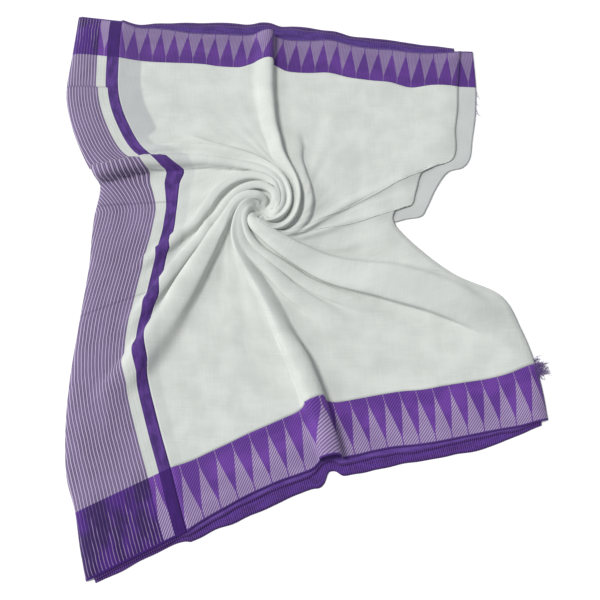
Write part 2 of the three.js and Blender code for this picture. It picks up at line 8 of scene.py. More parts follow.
import bpy
import numpy as np
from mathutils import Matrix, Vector


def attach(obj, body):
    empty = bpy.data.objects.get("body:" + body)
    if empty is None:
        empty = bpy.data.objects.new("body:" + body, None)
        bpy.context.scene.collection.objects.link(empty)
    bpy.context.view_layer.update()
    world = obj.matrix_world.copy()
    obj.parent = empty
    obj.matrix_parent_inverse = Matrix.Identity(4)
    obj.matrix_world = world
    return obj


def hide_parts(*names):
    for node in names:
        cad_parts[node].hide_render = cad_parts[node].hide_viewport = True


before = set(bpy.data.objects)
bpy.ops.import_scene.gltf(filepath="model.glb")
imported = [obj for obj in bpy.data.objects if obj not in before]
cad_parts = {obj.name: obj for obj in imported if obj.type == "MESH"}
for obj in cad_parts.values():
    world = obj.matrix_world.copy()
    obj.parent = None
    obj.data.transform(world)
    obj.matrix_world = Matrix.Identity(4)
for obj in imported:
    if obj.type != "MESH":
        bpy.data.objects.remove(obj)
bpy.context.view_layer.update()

MM = 0.001
MIDDLE = np.array([-16.6, 74.7])

# The cloth and its folded stack
CLOTH_WIDTH = 1200.0
BORDER_WIDTH = 110.0
EDGE_LEVEL = 5.2
FLAT_LEVEL = 9.5
EDGE_ROUNDING = 45.0
ROLLED_EDGE_DROP = 3.0
ROLLED_EDGE_WIDTH = 9.0
ROLL_STOPS_UP = 590.0
LAYER_THICKNESS = 1.4
LAYER_GAP = 0.4
TUCK = 11.0
CLOTH_THICKNESS = 0.6

# The camera: its lens and frame, its height above the table and how steeply it looks down
LENS = 42.0
SENSOR = 36.0
EYE_HEIGHT = 1268.0
EYE_ELEVATION = math.radians(72)

# How the top layer lies, section by section up its width. Columns: the distance up, then the
# left edge, the seam of the band and the right edge, each x and y.
SECTIONS = np.array([
    (0, -360, -499, -193, -419, 447, -228),
    (55, -376, -443, -210, -366, 443, -176),
    (110, -389, -388, -227, -312, 435, -124),
    (200, -411, -325, -254, -232, 416, -60),
    (300, -421, -240, -280, -140, 383, 8),
    (400, -422, -150, -283, -58, 300, 50),
    (500, -415, -40, -267, 18, 236, 101),
    (600, -407, 75, -254, 103, 185, 160),
    (640, -408, 124, -246, 142, 190, 186),
    (680, -407, 169, -243, 182, 221, 196),
    (740, -401, 240, -240, 240, 233, 230),
    (790, -424, 275, -236, 276, 251, 276),
    (850, -446, 316, -308, 311, 311, 300),
    (920, -473, 380, -352, 376, 321, 372),
    (1000, -491, 455, -379, 450, 329, 420),
    (1090, -488, 552, -386, 541, 333, 471),
    (1145, -486, 602, -387, 590, 339, 516),
    (1200, -484, 650, -387, 637, 345, 560),
], float)
LEFT, BAND, RIGHT = (1, 2), (3, 4), (5, 6)

# How far the edges of the two borders bow towards +Y from straight lines. Columns: the share of
# the way from the band's seam to the right edge, then the lower border's outer edge and its seam
# with the field, the upper border's seam and its outer edge.
BORDER_BOWS = np.array([
    (0, 0, 0, 0, 0),
    (0.05, 11, 1, -4, -12),
    (0.1, 19, 7, -5, -10),
    (0.15, 27, 13, -3, -11),
    (0.2, 32, 20, -1, -14),
    (0.25, 36, 25, 0, -13),
    (0.3, 37, 30, -2, -10),
    (0.34, 40, 35, -1, -9),
    (0.365, 52, 46, 1, -8),
    (0.39, 52, 49, 9, -4),
    (0.41, 43, 41, 16, 1),
    (0.44, 41, 32, 19, 2),
    (0.47, 39, 29, 8, -8),
    (0.5, 38, 27, -1, -10),
    (0.56, 34, 23, 0, -7),
    (0.62, 26, 18, 5, 0),
    (0.68, 20, 10, -3, -10),
    (0.74, 16, 6, -6, -13),
    (0.8, 12, 1, -6, -12),
    (0.86, 8, -4, -15, -14),
    (0.92, 3, -5, -5, -11),
    (0.97, 2, -1, -1, -5),
    (1, 0, 0, 0, 0),
])
SEAM_BOW_REACH = 330.0

# The rosette's dome and the small hollow in its middle
ROSETTE = np.array([-73.0, 175.0])
DOME_HEIGHT, DOME_REACH = 17.0, 120.0
NAVEL_DEPTH, NAVEL_REACH = 10.0, 22.0

# The folds that run out of the rosette. Columns: the height of the crest near the rosette and
# far out, its half width near and far out, how far out the fold dies away, how many half widths
# wide its anticlockwise side is, how much it leans clockwise near and far out, how much it bulges
# over both its sides near and far out, and its directions in degrees at the STATIONS.
STATIONS = np.array([20, 45, 70, 110, 170, 260, 360], float)
FOLDS = {
    "upper_left_roll": (15, 15, 9, 20, 310, 1.0, 1, 0, 0, 0, (-60, 2, 52, 98, 128, 146, 152)),
    "upper_left_lip": (13, 23, 8, 18, 900, 1.0, 0, 0, 1, 1, (-30, 30, 66, 113, 138, 155, 168)),
    "upper_left_tuck": (6, 5, 6, 12, 250, 1.0, 0.3, 0, 0, 0, (-20, 10, 44, 87, 120, 134, 140)),
    "left_roll_top": (14, 8, 10, 14, 300, 1.2, 0, 0, 1, 0.3, (-10, 50, 84, 172, 196, 204, 208)),
    "left_roll_middle": (14, 12, 10, 17, 360, 1.2, 0, 0, 1, 0.5, (20, 62, 163, 196, 210, 219, 223)),
    "left_roll_foot": (15, 19, 11, 31, 500, 1.5, 0, 0, 1, 0.45, (80, 140, 187, 210, 222, 229, 232)),
    "lower_roll": (14, 21, 11, 22, 900, 1.0, 0.8, 0, 0.2, 1, (120, 192, 224, 255, 273, 281, 285)),
    "lower_right_fan": (12, 4, 11, 30, 320, 1.4, 0, 0, 0.7, 0, (150, 205, 234, 270, 288, 302, 311)),
    "lower_right_lip": (13, 4, 9, 22, 330, 1.4, 0, 0, 0.7, 0, (160, 216, 254, 284, 300, 314, 322)),
    "lower_right_roll": (16, 22, 18, 38, 540, 1.5, 0, 0, 0.9, 0.9,
                         (220, 270, 291, 305, 315, 326.5, 332.5)),
    "right_low": (4, 2, 8, 18, 230, 1.0, 0.1, 0, 0, 0, (260, 290, 310, 323, 334, 356, 360)),
    "right_middle": (4, 2.5, 8, 18, 300, 1.0, 0.1, 0, 0, 0, (270, 290, 305, 335, 354, 361, 363)),
    "right_top": (6, 4, 9, 18, 380, 1.0, 0.3, 0, 0, 0, (280, 296, 316, 350, 367, 374, 378)),
    "upper_roll": (14, 15, 9, 20, 900, 1.3, 1, 0.8, 0, 0.2, (-100, -55, 18, 66, 83, 89, 90)),
    "upper_lip": (9, 0.5, 9, 30, 215, 1.5, 0.2, 0, 0.4, 0, (-110, -80, -45, 42, 67, 78, 83)),
}

# Distances from the rosette. A path eases into its last station. Heights and widths change from
# near to far, the leaning changes a little farther out, and creases soften on the way. A fold
# narrows into the middle, rises there, and starts to fade at a share of its length.
PATH_EASE = 22.0
NEAR_AT, FAR_AT = 60.0, 300.0
LEANING_TURNS_FROM, LEANING_TURNS_TO = 190.0, 320.0
CREASES_SOFTEN_FROM, CREASES_SOFTEN_TO = 110.0, 260.0
NARROWS_FROM, NARROWS_TO = -30.0, 45.0
RISES_FROM, RISES_TO = 4.0, 32.0
FADES_AFTER = 0.72

# A fold's clockwise side is this many half widths wide, and a full lean carries its crest this
# many half widths aside. The powers are those of its ridge: soft where it stands upright, and
# firm on the steep side and on the gentle one, which softens as it widens.
STEEP_SIDE = 0.8
LEAN = 0.62
SOFT_POWER = 2.0
STEEP_POWER = 0.9
GENTLE_POWERS = (1.0, 1.7)
GENTLE_WIDTHS = (1.0, 1.5)

# How sharp the crease between two folds is, near the rosette and far out
CREASE_SHARPNESS, FAR_SHARPNESS = 0.42, 0.22

# Ripples that run along the folds, with the distances from the rosette at which they start, are
# full, start to fade and end, how many go round it, and their seed. Then soft swells of all the
# cloth: the height, length and seed of each, and how far in from the edge they are full.
RIPPLE_HEIGHT = 0.55
RIPPLES_FROM, RIPPLES_FULL, RIPPLES_FADE, RIPPLES_END = 25.0, 80.0, 200.0, 420.0
FEWEST_RIPPLES, MOST_RIPPLES, RIPPLE_SEED = 16, 44, 3
SWELLS = ((0.5, 130, 4), (0.16, 42, 5))
SWELLS_FULL_AT = 60.0

# The folds that the field's grid runs along, anticlockwise
GUIDES = ("lower_right_roll", "upper_roll", "upper_left_roll", "left_roll_top",
          "left_roll_foot", "lower_roll")


def smooth(value, low, high):
    """0 below low and 1 above high, with an S-shaped cubic between them."""
    share = np.clip((value - low) / (high - low), 0, 1)
    return share * share * (3 - 2 * share)


def mix(a, b, share):
    """a where share is 0, b where it is 1, and in proportion between."""
    return a + (b - a) * share


def through(places, values, at):
    """A cubic through the rows of a table, whose slope at each row is that of its neighbours' chord."""
    places, values = np.asarray(places, float), np.asarray(values, float)
    last = len(places) - 1
    rows = np.arange(last + 1)
    after, before = np.minimum(rows + 1, last), np.maximum(rows - 1, 0)
    slope = (values[after] - values[before]) / (places[after] - places[before])
    i = np.clip(np.searchsorted(places, at) - 1, 0, last - 1)
    gap = places[i + 1] - places[i]
    u = np.clip((at - places[i]) / gap, 0, 1)
    return (values[i] * (2 * u**3 - 3 * u**2 + 1) + slope[i] * gap * (u**3 - 2 * u**2 + u)
            + values[i + 1] * (3 * u**2 - 2 * u**3) + slope[i + 1] * gap * (u**3 - u**2))


def edge_at(columns, up):
    """A named edge of the top layer in plan, at distances up the cloth."""
    return np.stack([through(SECTIONS[:, 0], SECTIONS[:, c], up) for c in columns], axis=-1)


def plan(up, along):
    """The flat cloth in plan: along is -1 at the left edge, 0 at the band's seam, 1 at the right."""
    up, along = np.broadcast_arrays(np.asarray(up, float), np.asarray(along, float))
    far = np.where((along < 0)[..., None], edge_at(LEFT, up), edge_at(RIGHT, up))
    point = mix(edge_at(BAND, up), far, np.abs(along)[..., None])
    lower_edge, lower_seam, upper_seam, upper_edge = (
        np.where(along > 0, through(BORDER_BOWS[:, 0], BORDER_BOWS[:, c], np.maximum(along, 0)), 0)
        for c in range(1, 5))
    from_upper = CLOTH_WIDTH - up
    depth = np.minimum(up, from_upper)
    lower_half = up < from_upper
    edge = np.where(lower_half, lower_edge, upper_edge)
    seam = np.where(lower_half, lower_seam, upper_seam)
    fading = seam * (1 - smooth(depth, BORDER_WIDTH, BORDER_WIDTH + SEAM_BOW_REACH))
    point[..., 1] += np.where(depth < BORDER_WIDTH, mix(edge, seam, depth / BORDER_WIDTH), fading)
    return point


def distance_to(line, points):
    """How far each point is from a line of short straight runs."""
    best = np.full(points.shape[:-1], np.inf)
    for start, end in zip(line[:-1], line[1:]):
        run = end - start
        length = max(run @ run, 1e-9)
        arm = points - start
        share = np.clip((arm @ run) / length, 0, 1)
        best = np.minimum(best, np.linalg.norm(arm - share[..., None] * run, axis=-1))
    return best


UPS = np.linspace(0, CLOTH_WIDTH, 61)
LEFT_EDGE = plan(UPS, -1)
RIGHT_EDGE = plan(UPS, 1)
BAND_SEAM = plan(UPS, 0)
LOWER_EDGE = plan(0, np.linspace(-1, 1, 41))
UPPER_EDGE = plan(CLOTH_WIDTH, np.linspace(-1, 1, 41))
OUTLINE = np.vstack([LOWER_EDGE, RIGHT_EDGE[1:], UPPER_EDGE[::-1][1:], LEFT_EDGE[::-1][1:]])
ROLLED_EDGES = (LEFT_EDGE, plan(np.linspace(0, ROLL_STOPS_UP, 41), 1))


def resting_level(points):
    """The top face's height with no folds: the stack thins to its edges, and rolled edges go down."""
    inward = np.clip(distance_to(OUTLINE, points) / EDGE_ROUNDING, 0, 1)
    level = mix(EDGE_LEVEL, FLAT_LEVEL, 1 - (1 - inward) ** 2)
    rolled = np.minimum(*(distance_to(line, points) for line in ROLLED_EDGES))
    return level - ROLLED_EDGE_DROP * (1 - smooth(rolled, 0, ROLLED_EDGE_WIDTH))


def waves(points, length, seed, count=7):
    """A smooth uneven swell, mostly from -1 to 1: sine waves of about that length in all directions.

    Their sum is divided by the root of their number.
    """
    draw = np.random.default_rng(seed)
    total = 0
    for _ in range(count):
        turn, phase = draw.uniform(0, 2 * math.pi, 2)
        heading = np.array([math.cos(turn), math.sin(turn)])
        across = heading * 2 * math.pi / (length * draw.uniform(0.7, 1.5))
        total = total + np.sin(points @ across + phase)
    return total / math.sqrt(count)


def streaks(bearing, reach, coarsest, finest, seed, count=9):
    """Uneven ripples that run along the folds: sine waves round the rosette, drifting outwards."""
    draw = np.random.default_rng(seed)
    total = 0
    for cycles in draw.integers(coarsest, finest, count):
        phase, drift = draw.uniform(0, 2 * math.pi), draw.uniform(-1.2, 1.2)
        total = total + np.sin(np.radians(bearing) * cycles + phase + drift * np.log(reach / 50))
    return total / math.sqrt(count)


def guide_turns(reach):
    """The directions of the guiding folds at each distance, in order, with the first again last."""
    inside = np.clip(reach, STATIONS[0], STATIONS[-1])
    turns = [through(STATIONS, FOLDS[name][-1], inside) + (360 if i else 0)
             for i, name in enumerate(GUIDES)]
    return np.stack(turns + [turns[0] + 360], axis=-1)


def guides_beside(guides, i):
    """The directions of the guiding fold before each place and of the one after it."""
    return (np.take_along_axis(guides, i[..., None] + step, -1)[..., 0] for step in (0, 1))


def between_guides(heading, reach):
    """Which guiding fold each place comes after, and how far it is on the way to the next one."""
    guides = guide_turns(reach)
    turn = guides[..., 0] + (heading - guides[..., 0]) % 360
    i = np.clip((guides <= turn[..., None]).sum(axis=-1) - 1, 0, len(GUIDES) - 1)
    low, high = guides_beside(guides, i)
    return i, (turn - low) / (high - low)


def along_guides(i, share, reach):
    """The direction, at a distance, of the place that lies so far between two guiding folds."""
    low, high = guides_beside(guide_turns(reach), i)
    return mix(low, high, share)


def fold_ridge(fold, arm, reach, heading):
    """One fold: a rounded ridge across its winding path, and how far it carries the cloth sideways.

    The ridge is (1 - u^2)^power at u half widths from its path. A fold that neither leans nor
    bulges has a soft foot. A lean carries the cloth downhill, clockwise, by a share of the half
    width, and a bulge carries it away from the crest on both sides.
    """
    near, far, slim, broad, ends, gentle, leans, leans_far, bulges, bulges_far, turns = fold

    def path(r):
        """The fold's direction at a distance, in radians."""
        rounded = STATIONS[-1] - PATH_EASE * np.logaddexp(0, (STATIONS[-1] - r) / PATH_EASE)
        return np.radians(through(STATIONS, turns, np.maximum(rounded, STATIONS[0])))

    winding = (path(reach + 1) - path(reach - 1)) / 2 * reach
    apart = heading - path(reach)
    aside = np.arctan2(np.sin(apart), np.cos(apart)) * reach / np.hypot(1, winding)
    outward = np.clip((reach - NEAR_AT) / (FAR_AT - NEAR_AT), 0, 1)
    half = mix(slim, broad, outward) * smooth(reach, NARROWS_FROM, NARROWS_TO)
    alive = smooth(reach, RISES_FROM, RISES_TO) * (1 - smooth(reach, FADES_AFTER * ends, ends))
    turned = smooth(reach, LEANING_TURNS_FROM, LEANING_TURNS_TO)
    leaning, bulging = mix(leans, leans_far, turned), mix(bulges, bulges_far, turned)
    steep = aside < 0
    u = np.clip(aside / (np.where(steep, STEEP_SIDE, gentle) * half), -1, 1)
    firm = np.clip(leaning + bulging, 0, 1)
    gentle_power = mix(*GENTLE_POWERS, smooth(gentle, *GENTLE_WIDTHS))
    power = mix(SOFT_POWER, np.where(steep, STEEP_POWER, gentle_power), firm)
    profile = (1 - u * u) ** power
    downhill = np.stack([arm[..., 1] + arm[..., 0] * winding, arm[..., 1] * winding - arm[..., 0]], -1)
    downhill = downhill / np.maximum(np.linalg.norm(downhill, axis=-1, keepdims=True), 1e-9)
    carried = leaning - bulging * np.clip(2 * aside / half, -1, 1)
    lean = downhill * (carried * LEAN * half * alive * profile)[..., None]
    return mix(near, far, outward) * alive * profile, lean


def draped(points):
    """The top layer's face over points of the plan.

    Its height is the resting level, plus a bell-shaped dome less a small one at the rosette's
    middle, plus the folds: the log of the sum of their exponentials, so that the highest wins and
    two meet in a crease, plus ripples and swells. Each fold also carries the cloth sideways, by
    its share of that sum.
    """
    arm = points - ROSETTE
    reach = np.maximum(np.linalg.norm(arm, axis=-1), 1e-6)
    heading = np.arctan2(arm[..., 1], arm[..., 0])
    softened = smooth(reach, CREASES_SOFTEN_FROM, CREASES_SOFTEN_TO)
    sharpness = mix(CREASE_SHARPNESS, FAR_SHARPNESS, softened)
    total, drift = 1.0, 0.0
    for fold in FOLDS.values():
        height, lean = fold_ridge(fold, arm, reach, heading)
        weight = np.exp(sharpness * height) - 1
        total = total + weight
        drift = drift + weight[..., None] * lean
    dome = DOME_HEIGHT * np.exp(-((reach / DOME_REACH) ** 2))
    navel = NAVEL_DEPTH * np.exp(-((reach / NAVEL_REACH) ** 2))
    height = resting_level(points) + dome - navel + np.log(total) / sharpness
    i, share = between_guides(np.degrees(heading), reach)
    bearing = along_guides(i, share, np.full_like(reach, STATIONS[-1]))
    rippled = (smooth(reach, RIPPLES_FROM, RIPPLES_FULL)
               * (1 - smooth(reach, RIPPLES_FADE, RIPPLES_END)))
    ripples = streaks(bearing, reach, FEWEST_RIPPLES, MOST_RIPPLES, RIPPLE_SEED)
    swells = sum(high * waves(points, length, seed) for high, length, seed in SWELLS)
    inland = smooth(distance_to(OUTLINE, points), 0, SWELLS_FULL_AT)
    height = height + (RIPPLE_HEIGHT * rippled * ripples + inland * swells)
    place = points + drift / total[..., None]
    return np.concatenate([place, height[..., None]], axis=-1)


def mesh_object(name, points, faces, uv=None, numbers=None, material=None):
    """A mesh of points in millimetres, with a UV map in millimetres and named numbers at its points."""
    placed = np.asarray(points, float).reshape(-1, 3).copy()
    placed[:, :2] -= MIDDLE
    mesh = bpy.data.meshes.new(name)
    mesh.vertices.add(len(placed))
    mesh.vertices.foreach_set("co", (placed * MM).ravel())
    corners = np.concatenate([np.asarray(f).ravel() for f in faces])
    sizes = np.concatenate([np.full(len(f), np.asarray(f).shape[1]) for f in faces])
    mesh.loops.add(len(corners))
    mesh.loops.foreach_set("vertex_index", corners)
    mesh.polygons.add(len(sizes))
    mesh.polygons.foreach_set("loop_start", np.concatenate([[0], np.cumsum(sizes)[:-1]]))
    mesh.polygons.foreach_set("use_smooth", np.ones(len(sizes), bool))
    mesh.update(calc_edges=True)
    if uv is not None:
        layer = mesh.uv_layers.new(name="cloth")
        layer.data.foreach_set("uv", np.asarray(uv, float).reshape(-1, 2)[corners].ravel())
    for label, values in (numbers or {}).items():
        attribute = mesh.attributes.new(label, "FLOAT", "POINT")
        attribute.data.foreach_set("value", np.asarray(values, float).ravel())
    if material:
        mesh.materials.append(material)
    piece = bpy.data.objects.new(name, mesh)
    bpy.context.scene.collection.objects.link(piece)
    return piece


def grid_faces(rows, columns, looped=False):
    """The quads of a grid of points. They face the side from which rows run left of columns."""
    i, j = np.meshgrid(np.arange(rows - 1), np.arange(columns if looped else columns - 1), indexing="ij")
    here, there = i * columns + j, i * columns + (j + 1) % columns
    return np.stack([here, there, there + columns, here + columns], axis=-1).reshape(-1, 4)


def thicken(piece, thickness):
    """Gives an open sheet its thickness, downwards from its face."""
    solidify = piece.modifiers.new("thickness", "SOLIDIFY")
    solidify.thickness = thickness * MM
    solidify.offset = -1
    return piece


# Surface finishes

def colour(red, green, blue):
    """A colour given as it shows on a screen, each part from 0 to 255, as a shader takes it."""
    parts = np.array([red, green, blue]) / 255
    linear = np.where(parts <= 0.04045, parts / 12.92, ((parts + 0.055) / 1.055) ** 2.4)
    return (*linear.tolist(), 1.0)


class Number:
    """A number at every point of a surface. Arithmetic on it adds the Math nodes that work it out."""

    def __init__(self, finish, socket):
        self.finish, self.socket = finish, socket

    def math(self, operation, *others, swap=False):
        """A Math node's result for it and the others, with it last where swap is set."""
        values = [*others, self] if swap else [self, *others]
        node = self.finish.node("ShaderNodeMath", {"operation": operation}, dict(enumerate(values)))
        return Number(self.finish, node.outputs[0])

    def __add__(self, other):
        return self.math("ADD", other)

    def __radd__(self, other):
        return self.math("ADD", other, swap=True)

    def __sub__(self, other):
        return self.math("SUBTRACT", other)

    def __rsub__(self, other):
        return self.math("SUBTRACT", other, swap=True)

    def __mul__(self, other):
        return self.math("MULTIPLY", other)

    def __rmul__(self, other):
        return self.math("MULTIPLY", other, swap=True)

    def __truediv__(self, other):
        return self.math("DIVIDE", other)

    def __abs__(self):
        return self.math("ABSOLUTE")

    def part(self):
        """What is left of it over a whole number."""
        return self.math("FRACT")

    def whole(self):
        """The whole number at or below it."""
        return self.math("FLOOR")

    def wave(self):
        """A sine wave of it, once in every 1."""
        return (self * (2 * math.pi)).math("SINE")

    def above(self, low, high):
        """0 where it is below low and 1 above high, smoothly."""
        node = self.finish.node("ShaderNodeMapRange", {"interpolation_type": "SMOOTHSTEP"},
                                {"Value": self, "From Min": low, "From Max": high})
        return Number(self.finish, node.outputs[0])


class Finish:
    """A cloth's material. Numbers and colours are links between its nodes."""

    def __init__(self, name, roughness=0.85, sheen=0.25):
        self.material = bpy.data.materials.new(name)
        self.material.use_nodes = True
        self.tree = self.material.node_tree
        self.tree.nodes.clear()
        self.shader = self.node("ShaderNodeBsdfPrincipled", inputs={
            "Roughness": roughness,
            "Sheen Weight": sheen,
            "Sheen Roughness": 0.5,
            "Specular IOR Level": 0.25,
        })
        self.node("ShaderNodeOutputMaterial", inputs={"Surface": self.shader.outputs[0]})

    def node(self, kind, settings=None, inputs=None):
        """A node of a kind, with its settings, then the values or links of its sockets."""
        node = self.tree.nodes.new(kind)
        for key, value in (settings or {}).items():
            setattr(node, key, value)
        for key, value in (inputs or {}).items():
            value = value.socket if isinstance(value, Number) else value
            if isinstance(value, bpy.types.NodeSocket):
                self.tree.links.new(value, node.inputs[key])
            else:
                node.inputs[key].default_value = value
        return node

    def cloth(self):
        """The piece's own UV map, as numbers in millimetres along the cloth and across it."""
        split = self.node("ShaderNodeSeparateXYZ", inputs={
            0: self.node("ShaderNodeUVMap", {"uv_map": "cloth"}).outputs[0],
        })
        return Number(self, split.outputs[0]), Number(self, split.outputs[1])

    def reading(self, label):
        """A named number of the mesh's points."""
        return Number(self, self.node("ShaderNodeAttribute", {"attribute_name": label}).outputs["Fac"])

    def noise(self, u, v, across, up, detail=2.0):
        """An uneven pattern, about 0.5, of patches of those sizes in millimetres."""
        place = self.node("ShaderNodeCombineXYZ", inputs={0: u / across, 1: v / up})
        node = self.node("ShaderNodeTexNoise", {"noise_dimensions": "2D"},
                         {"Vector": place.outputs[0], "Scale": 1.0, "Detail": detail})
        return Number(self, node.outputs[0])

    def blend(self, share, low, high):
        """The colour low where share is 0, and high where it is 1."""
        node = self.node("ShaderNodeMix", {"data_type": "RGBA"}, {0: share, 6: low, 7: high})
        return node.outputs[2]

    def finish(self, base, relief, depth):
        """Sets the colour, and raises the relief, from 0 to 1, by a depth in millimetres."""
        bump = self.node("ShaderNodeBump", inputs={
            "Height": relief,
            "Distance": depth * MM,
            "Strength": 1.0,
        })
        self.tree.links.new(base, self.shader.inputs["Base Color"])
        self.tree.links.new(bump.outputs[0], self.shader.inputs["Normal"])
        return self.material


# The pitch of the plain weave's threads, and the colours
THREAD = 0.8
WHITE = colour(205, 208, 203)
WHITE_SHADE = colour(191, 195, 190)
# The open weave's own grey, darkened further with painted shade of the valley above the upper left roll
OPEN_WEAVE_AND_SHADE = colour(154, 157, 161)
INNER_WHITE = colour(174, 177, 178)
PURPLE = colour(92, 46, 138)
PURPLE_DEEP = colour(70, 32, 116)
PURPLE_LIGHT = colour(120, 74, 162)
INDIGO = colour(62, 14, 112)
INDIGO_DEEP = colour(40, 8, 78)
LAVENDER = colour(142, 124, 158)
LAVENDER_LIGHT = colour(178, 162, 194)
LAVENDER_DARK = colour(104, 76, 132)
STRIPE_DARK = colour(64, 46, 88)
STRIPE_WORN = colour(88, 68, 112)
STRIPE_LIGHT = colour(190, 180, 200)
BAND_DARK = colour(60, 32, 100)
BAND_PURPLE = colour(84, 50, 128)


def weave(finish, u, v):
    """A plain weave's relief: a wave each way, with long uneven threads over it."""
    threads = (u / THREAD).wave() * (v / THREAD).wave() * 0.25 + 0.5
    warp = finish.noise(u, v, 0.9, 38.0)
    weft = finish.noise(u, v, 46.0, 0.9)
    return threads * 0.4 + (warp + weft) * 0.3


def white_weave(finish, u, v):
    """The plain field's colour: white, a little greyer in soft patches and along slack threads."""
    patches = finish.noise(u, v, 55.0, 48.0, 3.0)
    threads = finish.noise(u, v, 1.6, 60.0) * 0.5 + finish.noise(u, v, 60.0, 1.6) * 0.5
    return finish.blend((patches * 0.6 + threads * 0.5).above(0.35, 0.75), WHITE_SHADE, WHITE)


# The open weave beside the band's seam, whose grey is partly painted shade: the pitch of its lines,
# the strip's width, how much wider it is where it is fully open, how open it is low down, and
# between which y in plan it opens
OPEN_LINES = 2.6
OPEN_STRIP_WIDTH = 24.0
OPEN_STRIP_GROWS = 26.0
LEAST_OPEN = 0.35
OPENS_FROM, OPENS_TO = 230.0, 385.0


def white_cotton():
    """White cotton, with a strip of open greyer weave beside the band's seam.

    The strip is wider and more open near the upper border. Its grey is partly the weave's own and
    partly painted shade of the valley above the upper left roll.
    """
    finish = Finish("white_cotton", roughness=0.9, sheen=0.15)
    u, v = finish.cloth()
    away = finish.reading("from_band")
    lines = (away / OPEN_LINES).wave() * 0.5 + 0.5
    openness = finish.reading("open_share")
    width = OPEN_STRIP_WIDTH + OPEN_STRIP_GROWS * openness.above(0.9, 0.995)
    strip = (1 - (away - width).above(-6.0, 2.0)) * openness
    share = strip * (0.4 + 0.35 * lines)
    base = finish.blend(share, white_weave(finish, u, v), OPEN_WEAVE_AND_SHADE)
    return finish.finish(base, weave(finish, u, v), 0.22)


# The temple pattern: how far apart its triangles are, at which shares of the border's width they
# end and start, in how many steps they are woven, the pitch and slant of their twill lines, the
# pitch of the ribs that may take the lines' place, and how much darker a ribbed border is
PERIOD = 31.0
PEAK_AT = 0.86
BASE_AT = 0.13
PATTERN_ROWS = 28
TWILL = 5.7
TWILL_SLANT = 0.9
RIB = 3.1
RIBBED_DARKER = 0.27


def temple_ground(u, v):
    """The ground's share at a place, its line on from each point, and the line between two grounds.

    At a height h, 0 at the outer selvedge and 1 at the field, the ground is a triangle that
    narrows from its full width at BASE_AT to nothing at PEAK_AT, in steps.
    """
    h = v / BORDER_WIDTH
    x = abs((u / PERIOD).part() - 0.5)
    stepped = ((h * PATTERN_ROWS).whole() + 0.5) / PATTERN_ROWS
    half = ((PEAK_AT - stepped) / (PEAK_AT - BASE_AT)).math("MINIMUM", 1.0) * 0.5
    ground = (half - x).above(-0.015, 0.015)
    point_line = (1 - x.above(0.012, 0.035)) * h.above(PEAK_AT - 0.06, PEAK_AT)
    between = x.above(0.455, 0.48) * (1 - h.above(BASE_AT, BASE_AT + 0.06))
    return ground, point_line * (1 - ground), between


def temple_pattern(finish, u, v, twill):
    """The woven border: purple triangles that stand on the white field's edge, in a lavender ground.

    Both are lined: slanting where twill is 1, and straight across the border where it is 0.
    """
    ground, point_line, between = temple_ground(u, v)
    slant = ((u - v * TWILL_SLANT) / TWILL).wave() * 0.5 + 0.5
    ribs = (u / RIB + finish.noise(u, v, 30.0, 160.0) * 1.5).wave() * 0.5 + 0.5
    hatch = slant * twill + ribs * (1 - twill)
    strength = 0.95 * twill + 0.6 * (1 - twill)
    tone = finish.noise(u, v, 60.0, 40.0)
    light = finish.blend(tone, LAVENDER, LAVENDER_LIGHT)
    pale = finish.blend(hatch.above(0.2, 0.7) * strength + (1 - strength) * 0.55, LAVENDER_DARK, light)
    dark = finish.blend(tone.above(0.3, 0.7), PURPLE_DEEP, PURPLE)
    deep = finish.blend(hatch.above(0.4, 0.95) * 0.6, dark, PURPLE_LIGHT)
    body = finish.blend(ground * (1 - between) + point_line * 0.8, deep, pale)
    rim = 1 - v.above(3.0, 4.5)
    dyed = finish.blend(rim, body, PURPLE_DEEP)
    return finish.blend((1 - twill) * RIBBED_DARKER, dyed, INDIGO_DEEP), hatch


def temple_border(name, twill):
    """A triangle border: a twill or ribbed weave over the temple pattern."""
    finish = Finish(name, roughness=0.72, sheen=0.2)
    u, v = finish.cloth()
    base, hatch = temple_pattern(finish, u, v, twill)
    return finish.finish(base, hatch * 0.6 + weave(finish, u, v) * 0.4, 0.3)


# The end piece: the widths of the band and of the white strip, where the stripes start, how far
# apart they are, where pressed lines cross them, and how far the last one shifts them
BAND_WIDTH = 22.0
WHITE_STRIP_WIDTH = 20.0
STRIPES_AT = BAND_WIDTH + WHITE_STRIP_WIDTH
STRIPE = 6.2
PRESSED_AT = (505.0, 700.0, 1015.0)
PRESSED_SHIFT = 4.0


def purple_band(finish, u, v, in_border):
    """The purple band, which is unevenly dyed, and indigo where the borders cross it."""
    tone = finish.noise(u, v, 9.0, 26.0, 3.0)
    band = finish.blend(tone.above(0.3, 0.7), BAND_DARK, BAND_PURPLE)
    return finish.blend(in_border, band, finish.blend(tone, INDIGO_DEEP, INDIGO))


def white_strip(finish, u, v, from_edge, in_border):
    """The white strip with its thin grey lines. In the borders it carries the temple pattern."""
    middle = BAND_WIDTH + WHITE_STRIP_WIDTH / 2 - PERIOD / 2
    temple, _ = temple_pattern(finish, middle - u, from_edge, 1.0)
    grey_lines = (u / 2.2).wave().above(0.2, 1.0) * 0.35
    # The thin lines take the open weave's grey, which also holds painted shade
    white = finish.blend(grey_lines, white_weave(finish, u, v), OPEN_WEAVE_AND_SHADE)
    return finish.blend(in_border, white, temple)


def fine_stripes(finish, u, v, phase, across, tone, slub):
    """The stripes' colour, and how far each place is in a light one. Dark ones have a faint line."""
    light = 1 - phase.above(0.2, 0.52)
    second = (1 - abs((across / STRIPE + 0.5).part() - 0.5).above(0.05, 0.14)) * 0.4
    slant = ((u * 0.9 + v) / 2.4).wave() * 0.5 + 0.5
    dark = finish.blend(tone.above(0.3, 0.7), STRIPE_DARK, STRIPE_WORN)
    pale = finish.blend(slant * 0.35 + slub * 0.3, STRIPE_LIGHT, LAVENDER_DARK)
    return finish.blend(light * 0.95 + second * (1 - light), dark, pale), light


